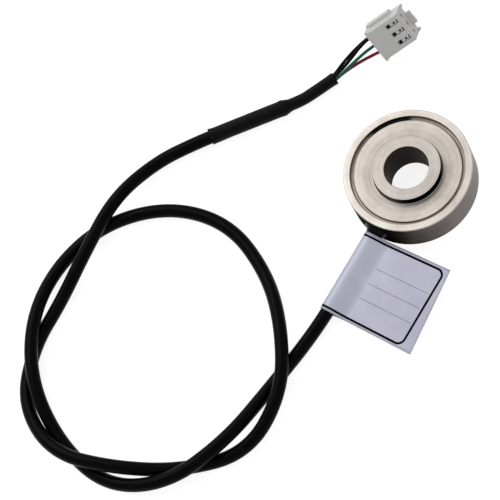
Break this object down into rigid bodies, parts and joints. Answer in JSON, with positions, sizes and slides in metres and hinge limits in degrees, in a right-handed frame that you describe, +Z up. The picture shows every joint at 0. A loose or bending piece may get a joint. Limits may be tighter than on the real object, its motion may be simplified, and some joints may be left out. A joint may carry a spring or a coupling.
{
  "type": "through-hole ring load cell",
  "caption": "Low through-hole ring load cell in turned stainless steel, with a thin black cable, a blank folded cable label, shrink sleeve and a three-way crimp connector",
  "frame": {"origin": "the through bore's axis on the seat plane", "axes": "+Z up along the bore; the cable leaves the rim along -Y"},
  "size_m": [0.0926, 0.1404, 0.0137],
  "materials": {
    "turned_steel": "fine turned, bead-dulled",
    "cover_steel": "plain sheet",
    "seal_rubber": "matt silicone",
    "gauge_foil": "amber film",
    "board_laminate": "matt laminate",
    "wire_copper": "enamelled copper",
    "solder": "smooth solder",
    "lead_black": "smooth insulation",
    "lead_green": "smooth insulation",
    "lead_red": "smooth insulation",
    "sealant": "satin sealant",
    "jacket": "satin extruded jacket",
    "label_film": "satin silver film, blank but for a border line",
    "sleeve": "matt shrunk tube",
    "housing_nylon": "milky moulded nylon",
    "contact_tin": "tinned strip"
  },
  "bodies": {
    "root": {"sensor_body": "turned_steel", "base_cover": "cover_steel", "skirt_seal": "seal_rubber", "strain_gauge_1": "gauge_foil", "strain_gauge_2": "gauge_foil", "strain_gauge_3": "gauge_foil", "strain_gauge_4": "gauge_foil", "terminal_board": "board_laminate", "bridge_wires": "wire_copper", "solder_joints": "solder", "core_black_1": "lead_black", "core_black_2": "lead_black", "core_green": "lead_green", "core_red": "lead_red", "cable_seal": "sealant", "cable_jacket": "jacket", "cable_label": "label_film", "shrink_sleeve": "sleeve", "lead_black_1": "lead_black", "lead_black_2": "lead_black", "lead_green": "lead_green", "lead_red": "lead_red", "connector_housing": "housing_nylon", "crimp_contact_1": "contact_tin", "crimp_contact_2": "contact_tin", "crimp_contact_3": "contact_tin"}
  },
  "joints": []
}
